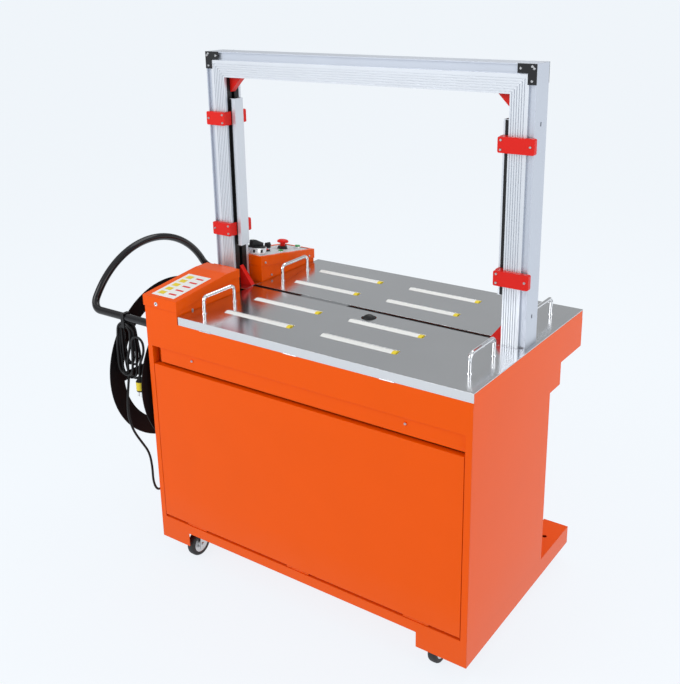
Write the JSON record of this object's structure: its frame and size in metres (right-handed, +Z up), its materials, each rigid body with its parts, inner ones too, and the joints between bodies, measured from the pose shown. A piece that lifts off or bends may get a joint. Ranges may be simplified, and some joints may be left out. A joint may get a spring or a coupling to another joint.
{
  "type": "strapping machine",
  "caption": "Semi-automatic strapping machine: a strap arch over a hinged steel table on a wheeled cabinet, with a side reel and a tilting front door.",
  "frame": {"origin": "centre of the machine's outline at floor level (without the power cord)", "axes": "+X to the right along the front, +Y to the back, +Z up"},
  "size_m": [1.251, 0.6505, 1.428],
  "materials": {
    "orange_paint": "gloss",
    "stainless": "polished",
    "aluminium": "satin",
    "casing_white": "satin",
    "red_plastic": "matte",
    "black_metal": "gloss",
    "black_plastic": "matte",
    "chrome": "polished",
    "white_plastic": "satin",
    "grey_panel": "matte",
    "green_plastic": "gloss",
    "zinc_steel": "satin",
    "tyre_rubber": "matte",
    "cord_rubber": "satin",
    "cast_grey": "satin",
    "blue_motor": "satin"
  },
  "bodies": {
    "cabinet": {"arch_channel": "casing_white", "arch_clamps": "red_plastic", "arch_corner_plates": "black_metal", "arch_profiles": "aluminium", "arch_screws": "zinc_steel", "cabinet_frame": "orange_paint", "control_bezels": "white_plastic", "control_box": "orange_paint", "control_panel": "grey_panel", "cord_gland": "black_plastic", "cord_hank": "cord_rubber", "corner_guides": "red_plastic", "door_hinges": "zinc_steel", "drive_motor": "blue_motor", "front_frame": "orange_paint", "grip_strip": "orange_paint", "guard_bars": "aluminium", "hank_tie": "black_plastic", "head_frame": "cast_grey", "left_side_panel": "orange_paint", "leg_base_plates": "stainless", "plug_lead": "cord_rubber", "power_cord": "cord_rubber", "power_plug": "black_plastic", "push_handle": "black_metal", "rear_panel": "orange_paint", "reel_shaft": "black_metal", "right_side_panel": "orange_paint", "strap_pool": "zinc_steel", "strap_track": "black_plastic", "toolbox_base": "orange_paint"},
    "door": {"front_door": "orange_paint"},
    "front_plate": {"table_front": "stainless", "table_handles_front": "chrome"},
    "rear_plate": {"table_rear": "stainless", "table_handles_rear": "chrome"},
    "rollers_front_outer": {"roller_front_outer": "white_plastic"},
    "rollers_front_inner": {"roller_front_inner": "white_plastic"},
    "rollers_rear_outer": {"roller_rear_outer": "white_plastic"},
    "rollers_rear_inner": {"roller_rear_inner": "white_plastic"},
    "lid": {"toolbox_lid": "orange_paint"},
    "dial": {"main_dial": "black_plastic"},
    "rocker": {"power_switch": "red_plastic"},
    "selector": {"mode_knob": "black_plastic"},
    "stop_button": {"e_stop_button": "red_plastic"},
    "cycle_button": {"start_button": "green_plastic"},
    "ball": {"ball_switch": "black_plastic"},
    "reel": {"supply_reel": "black_metal"},
    "cam": {"cam_shaft": "zinc_steel"},
    "presser_set": {"pressers": "zinc_steel"},
    "feed": {"feed_roller": "tyre_rubber"},
    "idler": {"idler_roller": "zinc_steel"},
    "fork_front_left": {"caster_fork_front_left": "zinc_steel"},
    "wheel_front_left": {"caster_wheel_front_left": "tyre_rubber"},
    "fork_front_right": {"caster_fork_front_right": "zinc_steel"},
    "wheel_front_right": {"caster_wheel_front_right": "tyre_rubber"},
    "fork_rear_left": {"caster_fork_rear_left": "zinc_steel"},
    "wheel_rear_left": {"caster_wheel_rear_left": "tyre_rubber"},
    "fork_rear_right": {"caster_fork_rear_right": "zinc_steel"},
    "wheel_rear_right": {"caster_wheel_rear_right": "tyre_rubber"}
  },
  "joints": [
    {"name": "door_tilt", "type": "hinge", "parent": "cabinet", "child": "door", "pos_m": [0.1255, -0.3015, 0.124], "axis": [1, 0, 0], "range_deg": [0, 85]},
    {"name": "front_plate_lift", "type": "hinge", "parent": "cabinet", "child": "front_plate", "pos_m": [0.1255, -0.3055, 0.737], "axis": [1, 0, 0], "range_deg": [0, 95]},
    {"name": "rear_plate_lift", "type": "hinge", "parent": "cabinet", "child": "rear_plate", "pos_m": [0.1255, 0.3245, 0.737], "axis": [-1, 0, 0], "range_deg": [0, 95]},
    {"name": "rollers_front_outer_spin", "type": "hinge", "parent": "front_plate", "child": "rollers_front_outer", "pos_m": [0.0995, -0.2, 0.748], "axis": [1, 0, 0], "continuous": true},
    {"name": "rollers_front_inner_spin", "type": "hinge", "parent": "front_plate", "child": "rollers_front_inner", "pos_m": [0.0995, -0.077, 0.748], "axis": [1, 0, 0], "continuous": true},
    {"name": "rollers_rear_outer_spin", "type": "hinge", "parent": "rear_plate", "child": "rollers_rear_outer", "pos_m": [0.0995, 0.229, 0.748], "axis": [1, 0, 0], "continuous": true},
    {"name": "rollers_rear_inner_spin", "type": "hinge", "parent": "rear_plate", "child": "rollers_rear_inner", "pos_m": [0.0995, 0.106, 0.748], "axis": [1, 0, 0], "continuous": true},
    {"name": "lid_hinge", "type": "hinge", "parent": "cabinet", "child": "lid", "pos_m": [-0.3145, -0.0472, 0.823], "axis": [-1, 0, 0], "range_deg": [0, 75]},
    {"name": "dial_turn", "type": "hinge", "parent": "cabinet", "child": "dial", "pos_m": [-0.3065, 0.09059, 0.84883], "axis": [0, 0.1495, 0.9888], "range_deg": [-150, 150]},
    {"name": "power_rock", "type": "hinge", "parent": "cabinet", "child": "rocker", "pos_m": [-0.3145, 0.14177, 0.82612], "axis": [1, 0, 0], "range_deg": [0, 10]},
    {"name": "mode_turn", "type": "hinge", "parent": "cabinet", "child": "selector", "pos_m": [-0.3405, 0.18331, 0.81994], "axis": [0, 0.1495, 0.9888], "range_deg": [-60, 60]},
    {"name": "stop_press", "type": "slide", "parent": "cabinet", "child": "stop_button", "axis": [0, 0.1495, 0.9888], "range_m": [-0.005, 0], "stiffness_N_per_m": 400, "springref_m": 0.002},
    {"name": "start_press", "type": "slide", "parent": "cabinet", "child": "cycle_button", "axis": [0, 0.1495, 0.9888], "range_m": [-0.003, 0], "stiffness_N_per_m": 300, "springref_m": 0.002},
    {"name": "ball_press", "type": "slide", "parent": "front_plate", "child": "ball", "axis": [0, 0, 1], "range_m": [-0.004, 0], "stiffness_N_per_m": 500, "springref_m": 0.002},
    {"name": "reel_spin", "type": "hinge", "parent": "cabinet", "child": "reel", "pos_m": [-0.4595, -0.0765, 0.51], "axis": [1, 0, 0], "continuous": true},
    {"name": "swivel_front_left", "type": "hinge", "parent": "cabinet", "child": "fork_front_left", "pos_m": [-0.2765, -0.2395, 0.1], "axis": [0, 0, 1], "continuous": true},
    {"name": "roll_front_left", "type": "hinge", "parent": "fork_front_left", "child": "wheel_front_left", "pos_m": [-0.2765, -0.2615, 0.0375], "axis": [1, 0, 0], "continuous": true},
    {"name": "swivel_front_right", "type": "hinge", "parent": "cabinet", "child": "fork_front_right", "pos_m": [0.5275, -0.2395, 0.1], "axis": [0, 0, 1], "continuous": true},
    {"name": "roll_front_right", "type": "hinge", "parent": "fork_front_right", "child": "wheel_front_right", "pos_m": [0.5275, -0.2615, 0.0375], "axis": [1, 0, 0], "continuous": true},
    {"name": "swivel_rear_left", "type": "hinge", "parent": "cabinet", "child": "fork_rear_left", "pos_m": [-0.2385, 0.0595, 0.1], "axis": [0, 0, 1], "continuous": true},
    {"name": "roll_rear_left", "type": "hinge", "parent": "fork_rear_left", "child": "wheel_rear_left", "pos_m": [-0.2385, 0.0375, 0.0375], "axis": [1, 0, 0], "continuous": true},
    {"name": "swivel_rear_right", "type": "hinge", "parent": "cabinet", "child": "fork_rear_right", "pos_m": [0.4895, 0.0595, 0.1], "axis": [0, 0, 1], "continuous": true},
    {"name": "roll_rear_right", "type": "hinge", "parent": "fork_rear_right", "child": "wheel_rear_right", "pos_m": [0.4895, 0.0375, 0.0375], "axis": [1, 0, 0], "continuous": true},
    {"name": "cam_turn", "type": "hinge", "parent": "cabinet", "child": "cam", "pos_m": [-0.0005, 0.0125, 0.65], "axis": [1, 0, 0], "continuous": true},
    {"name": "presser_rise", "type": "slide", "parent": "cabinet", "child": "presser_set", "axis": [0, 0, 1], "range_m": [0, 0.008]},
    {"name": "feed_turn", "type": "hinge", "parent": "cabinet", "child": "feed", "pos_m": [0.1365, 0.0125, 0.65], "axis": [0, 1, 0], "continuous": true},
    {"name": "idler_turn", "type": "hinge", "parent": "cabinet", "child": "idler", "pos_m": [0.1365, 0.0125, 0.6946], "axis": [0, 1, 0], "continuous": true}
  ],
  "couplings": [
    {"joint": "idler_turn", "follows": "feed_turn", "ratio": -1.2}
  ]
}
